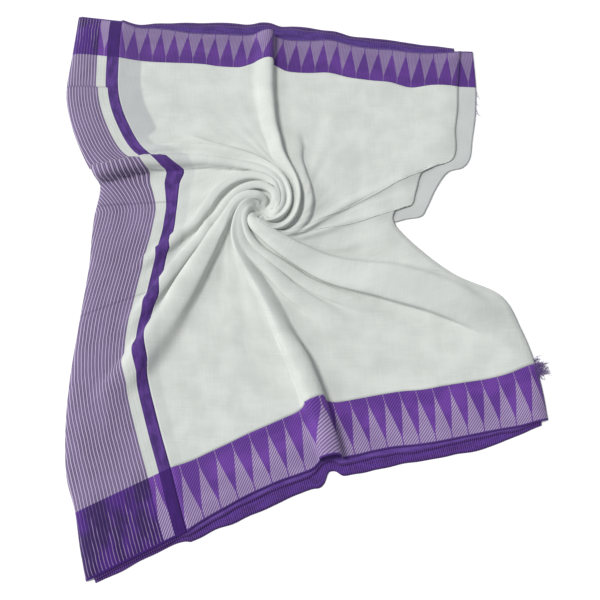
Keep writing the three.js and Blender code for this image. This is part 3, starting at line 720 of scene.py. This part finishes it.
def crossed_stripes(finish, u, from_edge, phase, tone, slub):
    """The stripes in the borders: light lines on indigo, fainter where purple triangles would be."""
    thin = 1 - phase.above(0.1, 0.34)
    ground, _, _ = temple_ground(u - STRIPES_AT, from_edge)
    ink = finish.blend(tone.above(0.4, 0.62), INDIGO_DEEP, INDIGO)
    lines = thin * (ground * 0.55 + 0.3) * (0.6 + 0.4 * slub.above(0.35, 0.6))
    return finish.blend(lines, ink, LAVENDER)


def striped_end():
    """The end piece: from the seam outwards a purple band, a white strip, then fine stripes.

    The borders cross it in indigo. Pressed fold lines cross the stripes, darkened along them with
    painted crease shade, and past the last of them the stripes stand a little aside.
    """
    finish = Finish("striped_end", roughness=0.78, sheen=0.2)
    u, v = finish.cloth()
    from_edge = v.math("MINIMUM", CLOTH_WIDTH - v)
    in_border = 1 - from_edge.above(BORDER_WIDTH - 1.0, BORDER_WIDTH + 1.0)
    sways = (finish.noise(u, v, 160.0, 45.0) - 0.5) * 3.0
    past = v.above(PRESSED_AT[-1] - 1.0, PRESSED_AT[-1] + 1.0)
    across = u - past * PRESSED_SHIFT + sways * u.above(STRIPES_AT - 12.0, STRIPES_AT + 20.0)
    phase = abs((across / STRIPE).part() - 0.5) * 2
    tone = finish.noise(u, v, 40.0, 90.0, 3.0)
    slub = finish.noise(u, v, 2.4, 14.0)
    stripes, light = fine_stripes(finish, u, v, phase, across, tone, slub)
    crossing = crossed_stripes(finish, u, from_edge, phase, tone, slub)
    outer = finish.blend(in_border, stripes, crossing)
    band = purple_band(finish, u, v, in_border)
    strip = white_strip(finish, u, v, from_edge, in_border)
    inner = finish.blend(across.above(BAND_WIDTH - 0.5, BAND_WIDTH + 0.5), band, strip)
    base = finish.blend(across.above(STRIPES_AT - 0.5, STRIPES_AT + 0.5), inner, outer)
    pressed = sum(1 - abs(v - at).above(0.8, 3.5) for at in PRESSED_AT)
    # Painted crease shade: the cloth darkens towards indigo along each pressed fold line
    base = finish.blend(pressed * 0.22, base, INDIGO_DEEP)
    base = finish.blend(1 - from_edge.above(3.0, 4.5), base, INDIGO)
    relief = light * 0.35 + weave(finish, u, v) * 0.4 + 0.25 - pressed * 0.25
    return finish.finish(base, relief, 0.3)


def under_edge(name, base, deep, ribs):
    """The selvedge of an under layer, in two shades, with cross ribs of the strength of ribs."""
    finish = Finish(name, roughness=0.75, sheen=0.2)
    u, v = finish.cloth()
    rib = (u / 3.7 + finish.noise(u, v, 40.0, 20.0) * 0.6).wave() * 0.5 + 0.5
    tone = finish.noise(u, v, 30.0, 8.0, 3.0)
    specks = finish.noise(u, v, 5.0, 2.2, 1.0).above(0.6, 0.72)
    plain = finish.blend(tone.above(0.3, 0.7), deep, base)
    pattern = finish.blend(rib.above(0.35, 0.9) * ribs + specks * 0.25, plain, PURPLE_LIGHT)
    rim = 1 - v.above(3.0, 5.0)
    dark_rim = finish.blend(rib.above(0.4, 0.9) * 0.55, INDIGO_DEEP, PURPLE_LIGHT)
    edged = finish.blend(rim, pattern, dark_rim)
    return finish.finish(edged, rib * 0.5 + weave(finish, u, v) * 0.5, 0.3)


def inner_end_finish():
    """The inner end: an open greyish white weave, with its own border at its top."""
    finish = Finish("inner_end", roughness=0.85, sheen=0.2)
    u, v = finish.cloth()
    lines = (u / 2.4).wave() * 0.5 + 0.5
    white = finish.blend(0.35 + 0.35 * lines, white_weave(finish, u, v), INNER_WHITE)
    temple, _ = temple_pattern(finish, u, CLOTH_WIDTH - v, 0.0)
    seam = CLOTH_WIDTH - BORDER_WIDTH
    base = finish.blend(v.above(seam - 1, seam + 1), white, temple)
    return finish.finish(base, weave(finish, u, v), 0.22)


def stacked_cotton():
    """The folded layers' sides and underside: white cotton, read from the object's own place."""
    finish = Finish("stacked_cotton", roughness=0.9, sheen=0.15)
    place = finish.node("ShaderNodeTexCoord").outputs["Object"]
    split = finish.node("ShaderNodeSeparateXYZ", inputs={0: place})
    u, v = (Number(finish, split.outputs[k]) / MM for k in range(2))
    return finish.finish(white_weave(finish, u, v), weave(finish, u, v), 0.22)


def purple_thread():
    """Loose border threads: dark at their roots and pale at their tips, some paler all along."""
    finish = Finish("purple_thread", roughness=0.7, sheen=0.4)
    u, v = finish.cloth()
    base = finish.blend(u.part() * 0.4 + v.above(7.0, 22.0) * 0.6, INDIGO, LAVENDER)
    return finish.finish(base, (v / 1.2).wave() * 0.5 + 0.5, 0.1)


# The pieces

# How far the layers under the top one reach past its edge. Columns: the place along the edge,
# as for plan(), then the second layer's reach and the third layer's.
LOWER_LAYERS = np.array([
    (-1, 4, 8), (-0.77, 4, 10), (-0.2, 5, 9), (-0.05, 6, 13), (0.05, 9, 23), (0.14, 10, 31),
    (0.22, 10, 33), (0.32, 9, 29), (0.355, 7, 37), (0.372, 10, 26), (0.41, 10, 28), (0.5, 11, 31),
    (0.6, 12, 28), (0.72, 8, 26), (0.8, 8, 27), (0.86, 7, 20), (0.93, 5, 12), (1, 2, 4),
])
UPPER_LAYERS = np.array([
    (-1, 0.5, 1), (-0.6, 1.5, 3.5), (-0.05, 1.5, 3), (0.03, 5, 9), (0.1, 9, 15), (0.2, 20, 28),
    (0.3, 24, 33), (0.44, 22, 30), (0.5, 30, 39), (0.56, 27, 35), (0.62, 18, 25), (0.72, 21, 29),
    (0.82, 18, 26), (0.92, 14, 21), (1, 4, 8),
])

# What a strip stops short of the top layer's right and left ends, as shares of the way along
STRIP_CLEAR, END_STRIP_CLEAR = 0.02, 0.08

# The under layers: their thickness in the scene, how far in their outward direction is taken from
# as a share of the border, how much their worn edges and faces swell and over what lengths, and
# how much a strip sags at its edge and the inner end droops
UNDER_THICKNESS = 0.8
OUTWARD_FROM = 0.2
WORN_BY, WORN_LENGTH = 0.7, 60
STRIP_SWELL, STRIP_SWELL_LENGTH = 0.15, 45
INNER_SWELL, INNER_SWELL_LENGTH = 0.25, 70
STRIP_SAG = 0.25
INNER_DROOP = 0.6

# The inner end's outer edge. Columns: the distance up the cloth, then x and y.
INNER_END = np.array([
    (622, 188, 161), (640, 208, 167), (665, 239, 173), (690, 251, 190),
    (740, 272, 233), (790, 299, 271), (830, 330, 282), (870, 346, 303),
    (920, 354, 345), (1000, 365, 405), (1090, 371, 470), (1200, 371, 560),
], float)

# The grids' rows and columns, and how strongly the field's rings crowd to its middle
BORDER_UPS = np.linspace(0, BORDER_WIDTH, 31)
FIELD_UPS = np.linspace(BORDER_WIDTH, CLOTH_WIDTH - BORDER_WIDTH, 91)
ALONG = np.linspace(0, 1, 121)
RINGS = 116
RING_CROWDING = 1.4


def field(finish):
    """The plain field: rings about the rosette whose spokes run along the guiding folds."""
    rim = np.vstack([
        plan(BORDER_WIDTH, ALONG[:-1]),
        plan(FIELD_UPS[:-1], 1),
        plan(CLOTH_WIDTH - BORDER_WIDTH, ALONG[:0:-1]),
        plan(FIELD_UPS[:0:-1], 0),
    ])
    arm = rim - ROSETTE
    ends = np.linalg.norm(arm, axis=-1)
    i, share = between_guides(np.degrees(np.arctan2(arm[:, 1], arm[:, 0])), ends)
    out = np.linspace(1, 0, RINGS + 1)[:-1, None] ** RING_CROWDING
    reach = out * ends
    turn = np.radians(along_guides(np.broadcast_to(i, reach.shape), share, reach))
    points = ROSETTE + reach[..., None] * np.stack([np.cos(turn), np.sin(turn)], axis=-1)
    flat = ROSETTE + out[..., None] * arm
    points = np.vstack([points.reshape(-1, 2), ROSETTE])
    flat = np.vstack([flat.reshape(-1, 2), ROSETTE])
    count = len(rim)
    around = np.arange(count)
    last = (RINGS - 1) * count
    after = (around + 1) % count
    middle = np.stack([last + around, last + after, np.full(count, last + count)], axis=-1)
    opened = smooth(points[:, 1], OPENS_FROM, OPENS_TO)
    shown = {"from_band": distance_to(BAND_SEAM, points), "open_share": mix(LEAST_OPEN, 1.0, opened)}
    piece = mesh_object("field_cloth", draped(points), [grid_faces(RINGS, count, looped=True), middle],
                        flat, shown, finish)
    return thicken(piece, CLOTH_THICKNESS)


def end_piece(finish):
    """The striped end: straight across the cloth from the band's seam to the left edge."""
    ups = np.concatenate([BORDER_UPS, FIELD_UPS[1:-1], CLOTH_WIDTH - BORDER_UPS[::-1]])[:, None]
    along = np.linspace(-1, 0, 46)
    width = distance_to(BAND_SEAM, plan(ups, -1))
    uv = np.stack(np.broadcast_arrays(-along * width, ups), axis=-1)
    piece = mesh_object("end_piece_cloth", draped(plan(ups, along)), [grid_faces(len(ups), len(along))],
                        uv, material=finish)
    return thicken(piece, CLOTH_THICKNESS)


def border(name, ups, from_edge, triangles, finish):
    """A border of the top layer, with a number of whole triangles along it."""
    grid = plan(ups[:, None], ALONG)
    uv = np.stack(np.broadcast_arrays(ALONG * triangles * PERIOD, from_edge[:, None]), axis=-1)
    piece = mesh_object(name, draped(grid), [grid_faces(len(ups), len(ALONG))], uv, material=finish)
    return thicken(piece, CLOTH_THICKNESS)


def under_strip(name, table, column, up, inward, level, finish):
    """An under layer along a border, from its worn edge, which shows, to under the top layer."""
    left_of_seam = np.linspace(-1 + END_STRIP_CLEAR, 0, 24)[:-1]
    along = np.concatenate([left_of_seam, np.linspace(0, 1 - STRIP_CLEAR, 180)])
    rim = plan(up, along)
    outward = rim - plan(up + inward * BORDER_WIDTH * OUTWARD_FROM, along)
    outward = outward / np.linalg.norm(outward, axis=-1, keepdims=True)
    worn = WORN_BY * waves(rim, WORN_LENGTH, 30 + column)
    reach = through(table[:, 0], table[:, column], along) + worn
    tucked = plan(up + inward * TUCK, along)
    across = np.linspace(0, 1, 9)
    plane = mix((rim + reach[:, None] * outward)[:, None], tucked[:, None], across[None, :, None])
    sag = STRIP_SAG * (1 - across) ** 3
    swell = STRIP_SWELL * waves(plane, STRIP_SWELL_LENGTH, 40 + column)
    height = level + LAYER_THICKNESS - sag + swell
    points = np.concatenate([plane, np.broadcast_to(height, plane.shape[:2])[..., None]], axis=-1)
    run = np.concatenate([[0], np.cumsum(np.linalg.norm(np.diff(rim, axis=0), axis=-1))])
    uv = np.stack(np.broadcast_arrays(run[:, None], across * (reach + TUCK)[:, None]), axis=-1)
    faces = grid_faces(len(along), len(across))
    piece = mesh_object(name, points, [faces[:, ::-1] if inward > 0 else faces], uv, material=finish)
    return thicken(piece, UNDER_THICKNESS)


def inner_end(finish):
    """The inner end of the cloth, where it shows past the top layer's right edge."""
    ups = np.linspace(INNER_END[0, 0], CLOTH_WIDTH, 151)
    edge = np.stack([through(INNER_END[:, 0], INNER_END[:, c], ups) for c in (1, 2)], axis=-1)
    right = plan(np.minimum(ups, CLOTH_WIDTH - 1), 1)
    seam = plan(np.minimum(ups, CLOTH_WIDTH - 1), 0)
    tucked = mix(right, seam, (TUCK / np.linalg.norm(right - seam, axis=-1))[:, None])
    across = np.linspace(0, 1, 17)
    plane = mix(tucked[:, None], edge[:, None], across[None, :, None])
    swell = INNER_SWELL * waves(plane, INNER_SWELL_LENGTH, 50)
    height = LAYER_THICKNESS * 2 + LAYER_GAP + swell - INNER_DROOP * across ** 4
    points = np.concatenate([plane, height[..., None]], axis=-1)
    width = np.linalg.norm(edge - tucked, axis=-1)
    uv = np.stack(np.broadcast_arrays((1 - across) * width[:, None], ups[:, None]), axis=-1)
    faces = [grid_faces(len(ups), len(across))]
    piece = mesh_object("inner_end_cloth", points, faces, uv, material=finish)
    return thicken(piece, UNDER_THICKNESS)


# The hidden stack: how far inside the top layer its rim is, how far below it its top lies, its
# share of the dome, how many layers its sides show, and how far each bulges
HIDDEN_INSET = 20.0
HIDDEN_DROP = 2.5
HIDDEN_DOME_SHARE = 0.25
HIDDEN_LAYERS = 4
HIDDEN_BULGE = 2.2


def layers_beneath(finish):
    """The folded layers that the top one lies on, as one rounded stack with a flat underside.

    It is made of rings about the rosette: out along the underside, up the sides, which bulge once
    for each layer, and in along the top, which follows the resting level.
    """
    inner_ups = np.linspace(HIDDEN_INSET, CLOTH_WIDTH - HIDDEN_INSET, 61)
    widths = [np.linalg.norm(plan(inner_ups, side) - plan(inner_ups, 0), axis=-1) for side in (-1, 1)]
    left = plan(inner_ups, -(1 - HIDDEN_INSET / widths[0]))
    right = plan(inner_ups, 1 - HIDDEN_INSET / widths[1])
    spread = np.linspace(-1, 1, 41)[1:-1]
    sides = [(1 - HIDDEN_INSET / widths[0][k]) * np.minimum(spread, 0)
             + (1 - HIDDEN_INSET / widths[1][k]) * np.maximum(spread, 0) for k in (0, -1)]
    lower = plan(inner_ups[0], sides[0])
    upper = plan(inner_ups[-1], sides[1])
    rim = np.vstack([left[:1], lower, right, upper[::-1], left[:0:-1]])
    arm = rim - ROSETTE

    def top(points):
        """The stack's height at places in plan."""
        dome = DOME_HEIGHT * HIDDEN_DOME_SHARE
        swell = dome * np.exp(-((np.linalg.norm(points - ROSETTE, axis=-1) / DOME_REACH) ** 2))
        return resting_level(points) + swell - HIDDEN_DROP

    rows = []
    for share in np.linspace(0.1, 0.98, 8):
        rows.append(np.column_stack([ROSETTE + share * arm, np.zeros(len(rim))]))
    outward = arm / np.linalg.norm(arm, axis=-1, keepdims=True)
    for share in np.linspace(0, 1, 6 * HIDDEN_LAYERS + 1):
        bulge = HIDDEN_BULGE * abs(math.sin(math.pi * HIDDEN_LAYERS * share)) - HIDDEN_BULGE
        rows.append(np.column_stack([rim + bulge * outward, share * top(rim)]))
    for share in np.linspace(0.97, 0.05, 24):
        place = ROSETTE + share * arm
        rows.append(np.column_stack([place, top(place)]))
    count = len(rim)
    around = np.arange(count)
    first, last = len(rows) * count, len(rows) * count + 1
    points = np.vstack([*rows, [[*ROSETTE, 0.0]], [[*ROSETTE, float(top(ROSETTE[None])[0])]]])
    after = (around + 1) % count
    top_ring = (len(rows) - 1) * count
    under = np.stack([np.full(count, first), after, around], axis=-1)
    over = np.stack([top_ring + around, top_ring + after, np.full(count, last)], axis=-1)
    faces = [grid_faces(len(rows), count, looped=True), under, over]
    return mesh_object("layers_beneath_cloth", points, faces, material=finish)


# A thread is a tube of this many rings and sides. Its tint is what its number times this leaves
# over a whole number.
THREAD_RINGS, THREAD_SIDES = 9, 4
TINT_STEP = 0.618


def threads(name, roots, turns, lengths, thickness, level, seed, finish):
    """Loose threads: four-sided tapers that wander in plan and sink to just above the table."""
    draw = np.random.default_rng(seed)
    steps, sides = THREAD_RINGS, THREAD_SIDES
    along = np.linspace(0, 1, steps)
    points, uv, faces = [], [], []
    ring = np.linspace(0, 2 * math.pi, sides, endpoint=False) + math.pi / 4
    for k, (root, turn, length) in enumerate(zip(roots, turns, lengths)):
        bend = draw.uniform(-1.1, 1.1) * along ** 1.5
        heading = turn + bend + 0.25 * np.sin(along * draw.uniform(4, 9) + k)
        step = length / (steps - 1) * np.stack([np.cos(heading), np.sin(heading)], axis=-1)
        line = root + np.vstack([[0, 0], np.cumsum(step[:-1], axis=0)])
        radius = thickness / 2 * mix(1.0, 0.4, along)
        rise = draw.uniform(0, 1.6) * np.sin(math.pi * along) + mix(level, thickness, along)
        aside = np.stack([-np.sin(heading), np.cos(heading)], axis=-1)
        wide, high = (radius[:, None] * f(ring) for f in (np.cos, np.sin))
        flat = line[:, None] + wide[..., None] * aside[:, None]
        tube = np.concatenate([flat, (rise[:, None] + high)[..., None]], axis=-1)
        start = k * steps * sides
        points.append(tube.reshape(-1, 3))
        tint = np.full(steps * sides, k * TINT_STEP)
        uv.append(np.stack([tint, np.repeat(along * length, sides)], axis=-1))
        faces.append(start + grid_faces(steps, sides, looped=True))
        faces.append(start + np.array([[3, 2, 1, 0], [(steps - 1) * sides + j for j in range(sides)]]))
    return mesh_object(name, np.vstack(points), faces, np.vstack(uv), material=finish)


# The frayed border threads at the lower right corner: where they start and end, up the cloth, how
# many and how long they are, how far inside the edge and how high they start and how thick they
# are. Then for each clump of them its direction in degrees, its share of the length and of them.
TUFT_FROM, TUFT_TO, TUFT_COUNT, TUFT_LENGTH = 85.0, 117.0, 90, 26.0
TUFT_INSIDE, TUFT_LEVEL, TUFT_THICKNESS = 2.5, 2.4, 1.1
CLUMP_TURNS = np.array([-48.0, 2.0, 38.0])
CLUMP_LENGTHS = np.array([0.8, 1.1, 0.8])
CLUMP_SHARES = (0.25, 0.45, 0.3)


def frayed_corner(finish):
    """Threads in three clumps, down, out and up from the cloth's corner, longest outwards."""
    draw = np.random.default_rng(8)
    share = np.sort(draw.uniform(0, 1, TUFT_COUNT))
    roots = plan(mix(TUFT_FROM, TUFT_TO, share), 1) - np.array([TUFT_INSIDE, 0.0])
    clump = draw.choice(3, TUFT_COUNT, p=CLUMP_SHARES)
    turns = np.radians(CLUMP_TURNS[clump] + draw.normal(0, 9, TUFT_COUNT))
    lengths = TUFT_LENGTH * CLUMP_LENGTHS[clump] * draw.uniform(0.6, 1.05, TUFT_COUNT)
    return threads("frayed_corner_threads", roots, turns, lengths, TUFT_THICKNESS, TUFT_LEVEL, 9,
                   finish)


# Loose threads of the inner end's edge, from one place to the other: how many there are, how far
# inside the edge and how high they start, and how thick they are
LOOSE_FROM, LOOSE_TO = np.array([371.0, 466.0]), np.array([367.0, 408.0])
LOOSE_COUNT, LOOSE_INSIDE, LOOSE_LEVEL, LOOSE_THICKNESS = 9, 1.5, 2.6, 0.7


def loose_threads(finish):
    """A few threads, evenly along the inner end's edge, that point down and out."""
    draw = np.random.default_rng(11)
    share = np.linspace(0, 1, LOOSE_COUNT)[:, None]
    roots = mix(LOOSE_FROM, LOOSE_TO, share) - np.array([LOOSE_INSIDE, 0.0])
    turns = np.radians(draw.uniform(-85, -20, LOOSE_COUNT))
    lengths = draw.uniform(9, 20, LOOSE_COUNT)
    return threads("loose_threads", roots, turns, lengths, LOOSE_THICKNESS, LOOSE_LEVEL, 12, finish)


white, striped = white_cotton(), striped_end()
twill_border = temple_border("twill_border", 1.0)
ribbed_border = temple_border("ribbed_border", 0.0)
plain_edge = under_edge("plain_edge", colour(92, 62, 140), colour(74, 44, 122), 0.15)
upper_plain_edge = under_edge("upper_plain_edge", colour(68, 44, 118), colour(50, 28, 96), 0.2)
upper_ribbed_edge = under_edge("upper_ribbed_edge", colour(44, 22, 88), colour(30, 12, 66), 0.3)
ribbed_edge = under_edge("ribbed_edge", colour(58, 28, 112), INDIGO_DEEP, 0.5)
thread_finish = purple_thread()

top_ups = CLOTH_WIDTH - BORDER_UPS[::-1]
second, third = LAYER_THICKNESS + LAYER_GAP, 0.0

# Columns: the solid that each sheet stands for, the sheet, its slot, its flat width and length
sheets = [
    ("field", field(white), "white_cotton", 0.69, 0.98),
    ("end_piece", end_piece(striped), "striped_cotton", 0.175, 1.2),
    ("border_lower", border("border_lower_cloth", BORDER_UPS, BORDER_UPS, 22, twill_border),
     "border_weave", 0.11, 0.69),
    ("border_upper", border("border_upper_cloth", top_ups, BORDER_UPS[::-1], 25, ribbed_border),
     "border_weave", 0.11, 0.75),
    ("lower_second_layer", under_strip("lower_second_cloth", LOWER_LAYERS, 1, 0, 1, second, plain_edge),
     "purple_selvedge", 0.02, 0.84),
    ("lower_third_layer", under_strip("lower_third_cloth", LOWER_LAYERS, 2, 0, 1, third, ribbed_edge),
     "purple_selvedge", 0.028, 0.84),
    ("upper_second_layer",
     under_strip("upper_second_cloth", UPPER_LAYERS, 1, CLOTH_WIDTH, -1, second, upper_plain_edge),
     "purple_selvedge", 0.02, 0.8),
    ("upper_third_layer",
     under_strip("upper_third_cloth", UPPER_LAYERS, 2, CLOTH_WIDTH, -1, third, upper_ribbed_edge),
     "purple_selvedge", 0.028, 0.8),
    ("inner_end", inner_end(inner_end_finish()), "white_cotton", 0.038, 0.58),
]
stack = layers_beneath(stacked_cotton())
tuft = frayed_corner(thread_finish)
loose = loose_threads(thread_finish)

for node, piece, slot_name, width, length in sheets:
    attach(piece, "root")
    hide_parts(node)
others = [
    ("layers_beneath", stack, "white_cotton"),
    ("frayed_corner", tuft, "purple_thread"),
]
for node, piece, slot_name in others:
    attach(piece, "root")
    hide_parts(node)
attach(loose, "root")


# The table, the light and the camera

def floor_finish():
    """A pale matt table top."""
    material = bpy.data.materials.new("table")
    material.use_nodes = True
    shader = material.node_tree.nodes["Principled BSDF"]
    shader.inputs["Base Color"].default_value = colour(253, 253, 253)
    shader.inputs["Roughness"].default_value = 0.95
    shader.inputs["Specular IOR Level"].default_value = 0.1
    return material


def sun_light(name, place, spread, strength, tint):
    """A broad lamp, far away in the direction of place, that lights all the cloth evenly."""
    lamp = bpy.data.lights.new(name, "SUN")
    lamp.angle, lamp.energy, lamp.color = np.radians(spread), strength, tint
    light = bpy.data.objects.new(name, lamp)
    light.location = place
    light.rotation_euler = (-Vector(place)).to_track_quat("-Z", "Y").to_euler()
    bpy.context.scene.collection.objects.link(light)
    return light


TABLE_HALF = 4000.0
table_corners = TABLE_HALF * np.array([(-1, -1, 0), (1, -1, 0), (1, 1, 0), (-1, 1, 0)])
table = mesh_object("table", table_corners, [np.array([[0, 1, 2, 3]])], material=floor_finish())
lights = [
    sun_light("overhead", (-2.8, 0.75, 3.7), spread=22, strength=2.45, tint=(1.0, 0.99, 0.97)),
    sun_light("side", (-3.0, 0.1, 1.2), spread=20, strength=0.95, tint=(0.98, 0.99, 1.0)),
]

world = bpy.data.worlds.new("studio")
world.use_nodes = True
world.node_tree.nodes["Background"].inputs["Color"].default_value = (0.93, 0.95, 1.0, 1.0)
world.node_tree.nodes["Background"].inputs["Strength"].default_value = 0.46
bpy.context.scene.world = world
bpy.context.scene.view_settings.view_transform = "Standard"

lens = bpy.data.cameras.new("camera")
lens.lens, lens.sensor_width = LENS, SENSOR
camera = bpy.data.objects.new("camera", lens)
away = EYE_HEIGHT / math.tan(EYE_ELEVATION)
camera.location = Vector((-MIDDLE[0], -MIDDLE[1] - away, EYE_HEIGHT)) * MM
camera.rotation_euler = (math.pi / 2 - EYE_ELEVATION, 0, 0)
bpy.context.scene.collection.objects.link(camera)
bpy.context.scene.camera = camera
